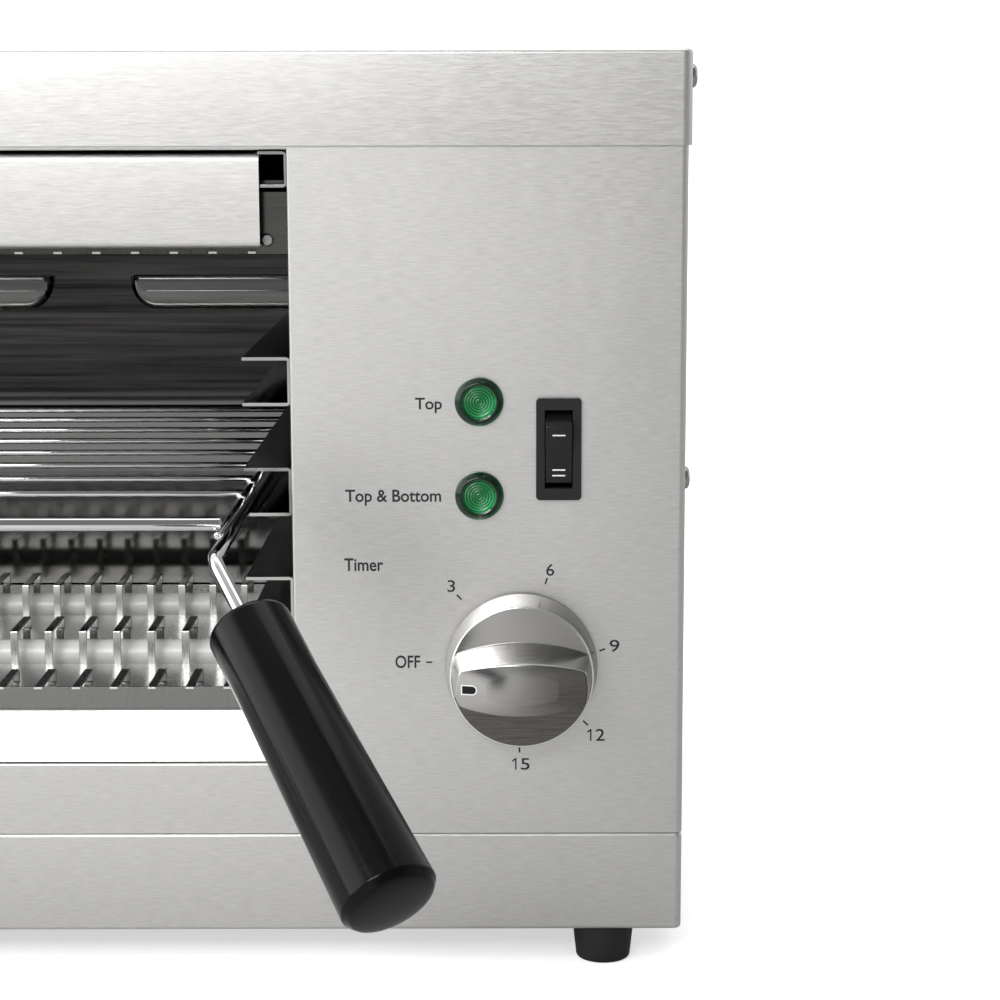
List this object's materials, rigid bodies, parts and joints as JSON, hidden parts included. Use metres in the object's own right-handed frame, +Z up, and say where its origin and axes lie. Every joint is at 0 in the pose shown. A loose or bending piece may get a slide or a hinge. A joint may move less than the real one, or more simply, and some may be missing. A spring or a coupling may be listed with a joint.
{
  "type": "salamander grill",
  "caption": "Countertop salamander toaster grill: stainless case, pull-out wire rack with two black grips, quartz heaters above and below, crumb tray, timer knob and rocker switch.",
  "frame": {"origin": "on the table, under the middle of the whole object's box", "axes": "+X to the right seen from the front, +Y from the front to the back, +Z up"},
  "size_m": [0.5384, 0.4736, 0.29],
  "materials": {
    "brushed_stainless": "fine level brushing",
    "mill_stainless": "bright mill finish",
    "polished_stainless": "polished",
    "chromed_wire": "chrome plated wire",
    "quartz_glass": "milky quartz",
    "ceramic": "dark fired ceramic, matt",
    "heating_wire": "bare resistance wire",
    "black_bakelite": "glossy moulding",
    "knob_metal": "brushed",
    "pointer_black": "matt inlay",
    "black_plastic": "matt moulding",
    "green_lens": "clear green moulding",
    "plated_steel": "bright plated",
    "brass": "plain",
    "lead_insulation": "silicone sleeve",
    "foot_rubber": "matt"
  },
  "bodies": {
    "housing": {"base_pan": "brushed_stainless", "chassis_plate": "mill_stainless", "front_panel": "brushed_stainless", "left_side_panel": "brushed_stainless", "right_side_panel": "brushed_stainless", "back_panel": "mill_stainless", "lid": "brushed_stainless", "chamber_left_wall": "mill_stainless", "chamber_right_wall": "mill_stainless", "chamber_back_wall": "mill_stainless", "chamber_floor": "mill_stainless", "chamber_ceiling": "mill_stainless", "left_rack_guides": "mill_stainless", "right_rack_guides": "mill_stainless", "guide_rivets": "plated_steel", "upper_unit_rails": "mill_stainless", "upper_cover_plate": "brushed_stainless", "upper_end_brackets": "mill_stainless", "bracket_rivets": "plated_steel", "upper_guard": "mill_stainless", "upper_reflector": "polished_stainless", "upper_tubes": "quartz_glass", "upper_heating_wires": "heating_wire", "upper_tube_holders": "ceramic", "lower_guard": "mill_stainless", "lower_reflector": "polished_stainless", "lower_tubes": "quartz_glass", "lower_heating_wires": "heating_wire", "lower_tube_holders": "ceramic", "timer_body": "plated_steel", "timer_bell": "brass", "timer_nut": "plated_steel", "switch_housing": "black_plastic", "switch_terminals": "brass", "lamp_lenses": "green_lens", "lamp_holders": "black_plastic", "terminal_block": "black_plastic", "cable_gland": "black_plastic", "gland_nut": "black_plastic", "earth_stud": "brass", "element_wiring": "heating_wire", "control_wiring": "lead_insulation", "feet": "foot_rubber", "foot_screws": "plated_steel", "foot_nuts": "plated_steel", "side_screws": "plated_steel", "back_screws": "plated_steel", "base_screws": "plated_steel"},
    "rack": {"rack_left_rail": "chromed_wire", "rack_right_rail": "chromed_wire", "rack_side_wires": "chromed_wire", "rack_front_wire": "chromed_wire", "rack_cross_wires": "chromed_wire", "handle_grips": "black_bakelite"},
    "tray": {"crumb_tray_floor": "polished_stainless", "crumb_tray_rim": "polished_stainless"},
    "knob": {"timer_shaft": "plated_steel", "timer_knob": "knob_metal", "knob_pointer": "pointer_black"},
    "rocker": {"switch_rocker": "black_plastic"}
  },
  "joints": [
    {"name": "rack_slide", "type": "slide", "parent": "housing", "child": "rack", "axis": [0, -1, 0], "range_m": [0, 0.2]},
    {"name": "tray_slide", "type": "slide", "parent": "housing", "child": "tray", "axis": [0, -1, 0], "range_m": [0, 0.2]},
    {"name": "timer_turn", "type": "hinge", "parent": "housing", "child": "knob", "pos_m": [0.2151, -0.06267, 0.0989], "axis": [0, 1, 0], "range_deg": [0, 270]},
    {"name": "rocker_tip", "type": "hinge", "parent": "housing", "child": "rocker", "pos_m": [0.2267, -0.05667, 0.1682], "axis": [-1, 0, 0], "range_deg": [0, 22]}
  ]
}
